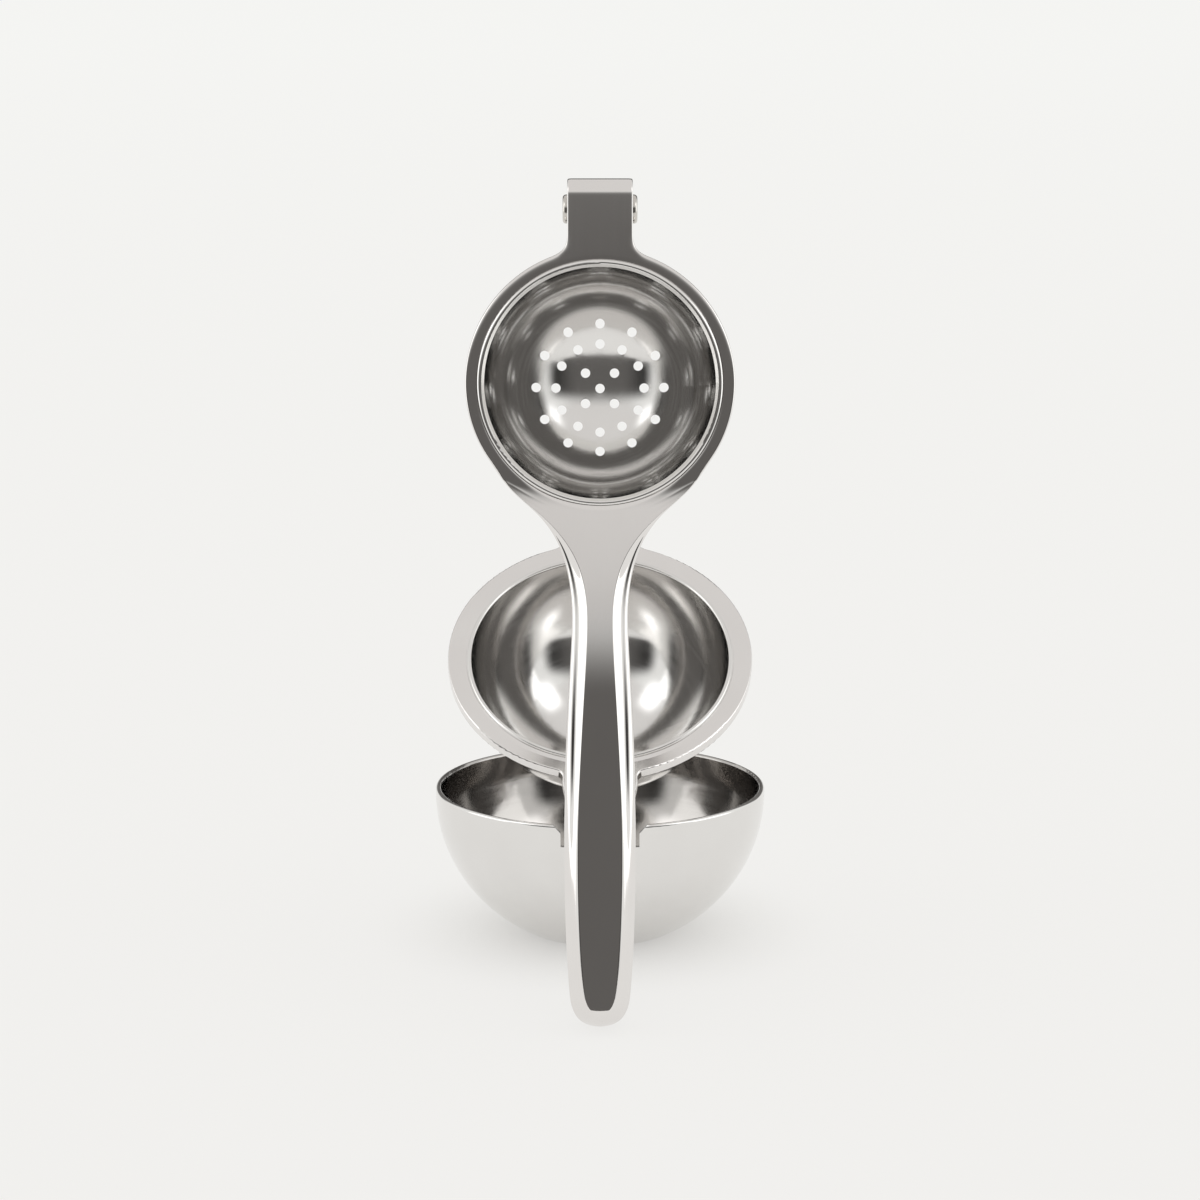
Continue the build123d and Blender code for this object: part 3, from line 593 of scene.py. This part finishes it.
def layPaper(name, middle, paper):
    bm = bmesh.new()
    bmesh.ops.create_grid(bm, x_segments=1, y_segments=1, size=sweep["size"])
    bmesh.ops.translate(bm, verts=bm.verts, vec=(0, middle, 0))
    sheet = finishMesh(bm, name, Matrix.Identity(4), paper)
    return sheet


palePaper = palePaperMaterial("pale_paper")
layPaper("studio_sweep", sweep["front"] + sweep["size"], palePaper)
apron = layPaper("studio_apron", sweep["front"] - sweep["size"], palePaper)    # seen by the camera alone
apron.visible_glossy = apron.visible_diffuse = apron.visible_shadow = False

# Soft-edged glowing cards that only mirror in the metal, painted reflections of the room: dark grey round the
# lens and behind, a dull ceiling, two bright corners. A flank is the tone at the two sides, a painted darker
# band.
cards = {
    "lens_flag": {"tone": "#656361", "flank": "#383736", "glow": 1.0, "size": (4.4, 2.2), "soft": (0.8, 0.55),
                  "spot": (0, -1.45, 0.03), "aim": (0, 0, 0.03)},
    "back_flag": {"tone": "#6b6967", "glow": 1.0, "size": (4.0, 1.5), "soft": (0.9, 0.4),
                  "spot": (0, 1.6, 0.75), "aim": (0, 0, 0.75)},
    "ceiling_card": {"tone": "#e4e2e0", "glow": 1.0, "size": (3.8, 5.2), "soft": (0.7, 0.5),
                     "spot": (0, -0.2, 1.55), "aim": (0, -0.2, 0)},
}
for side, tag in ((-1, "left"), (1, "right")):
    cards["corner_card_" + tag] = {"tone": "#ffffff", "glow": 2.2, "size": (0.7, 0.8), "soft": (0.3, 0.35),
                                   "spot": (side * 1.0, -0.5, 0.95), "aim": (0, -0.05, 0.14)}
flankFrom, flankTo = 0.12, 0.32                  # shares of the card's width


def faceTo(spot, aim):
    return (Vector(aim) - Vector(spot)).to_track_quat("-Z", "Y").to_euler()


def glowCardMaterial(name, card):
    mat, tree = bareMaterial(name)
    coord = addNode(tree, "ShaderNodeTexCoord")
    apart = addNode(tree, "ShaderNodeVectorMath", {"operation": "ABSOLUTE"}, {0: coord.outputs["Object"]})
    split = addNode(tree, "ShaderNodeSeparateXYZ", {}, {0: apart.outputs[0]})
    fades = [addNode(tree, "ShaderNodeMapRange", {
        "interpolation_type": "SMOOTHSTEP", "From Min": card["size"][i] / 2 - card["soft"][i],
        "From Max": card["size"][i] / 2, "To Min": 1.0, "To Max": 0.0,
    }, {"Value": split.outputs[i]}) for i in (0, 1)]
    cover = addNode(tree, "ShaderNodeMath", {"operation": "MULTIPLY"},
                    {0: fades[0].outputs[0], 1: fades[1].outputs[0]})
    side = addNode(tree, "ShaderNodeMapRange", {
        "interpolation_type": "SMOOTHSTEP", "From Min": flankFrom * card["size"][0],
        "From Max": flankTo * card["size"][0],
    }, {"Value": split.outputs[0]})
    # Glow colour of the card, painted light and shade seen only in the metal.
    glowTone = addNode(tree, "ShaderNodeMix", {
        "data_type": "RGBA", 6: linearColour(card["tone"]), 7: linearColour(card.get("flank", card["tone"])),
    }, {0: side.outputs[0]})
    cardGlow = addNode(tree, "ShaderNodeEmission", {"Strength": card["glow"]}, {"Color": glowTone.outputs[2]})
    clear = addNode(tree, "ShaderNodeBsdfTransparent")
    both = addNode(tree, "ShaderNodeMixShader", {},
                   {0: cover.outputs[0], 1: clear.outputs[0], 2: cardGlow.outputs[0]})
    addNode(tree, "ShaderNodeOutputMaterial", {}, {"Surface": both.outputs[0]})
    return mat


def hangCard(name, card):
    bm = bmesh.new()
    bmesh.ops.create_grid(bm, x_segments=1, y_segments=1, size=0.5)
    bmesh.ops.scale(bm, verts=bm.verts, vec=(*card["size"], 1))
    sheet = finishMesh(bm, name, Matrix.Identity(4), glowCardMaterial(name + "_glow", card))
    sheet.location = card["spot"]
    sheet.rotation_euler = faceTo(card["spot"], card["aim"])
    sheet.visible_camera = sheet.visible_shadow = sheet.visible_diffuse = False


for name, card in cards.items():
    hangCard(name, card)

# Pale room and a weak soft box at each side.
studio = {"wall": "#f5f5f3", "sideLight": 0.6, "boxSpot": (1.35, -0.15, 0.45), "boxAim": (0, -0.05, 0.12),
          "boxWide": 0.9, "boxTall": 1.0}
world = bpy.data.worlds.new("pale_studio")
bpy.context.scene.world = world
world.use_nodes = True
world.node_tree.nodes["Background"].inputs["Color"].default_value = linearColour(studio["wall"])
world.node_tree.nodes["Background"].inputs["Strength"].default_value = 1.0


def softBox(name, spot, aim, wide, tall, glow):
    light = bpy.data.lights.new(name, "AREA")
    light.shape = "RECTANGLE"
    light.size, light.size_y = wide, tall
    light.energy = glow * math.pi * wide * tall      # glow is the brightness seen in a mirror
    box = bpy.data.objects.new(name, light)
    bpy.context.scene.collection.objects.link(box)
    box.location = spot
    box.rotation_euler = faceTo(spot, aim)
    box.visible_camera = False


for side, tag in ((-1, "left"), (1, "right")):
    boxX, boxY, boxZ = studio["boxSpot"]
    softBox("softbox_side_" + tag, (side * boxX, boxY, boxZ), studio["boxAim"], studio["boxWide"],
            studio["boxTall"], studio["sideLight"])
print("studio lit")

# Camera set so that the render lies over the photo; spot and clip in metres, lens and sensor in mm.
view = {"spot": (0, -1.1468, 0.3371), "tilt": 78.0, "lens": 127.5, "sensor": 36.0, "clip": (0.05, 60.0)}
cam = bpy.data.cameras.new("photo_camera")
cam.lens = view["lens"]
cam.sensor_width = view["sensor"]
cam.clip_start, cam.clip_end = view["clip"]
camera = bpy.data.objects.new("photo_camera", cam)
bpy.context.scene.collection.objects.link(camera)
camera.location = view["spot"]
camera.rotation_euler = (math.radians(view["tilt"]), 0, 0)
bpy.context.scene.camera = camera
bpy.context.scene.view_settings.view_transform = "Standard"

bpy.context.view_layer.update()
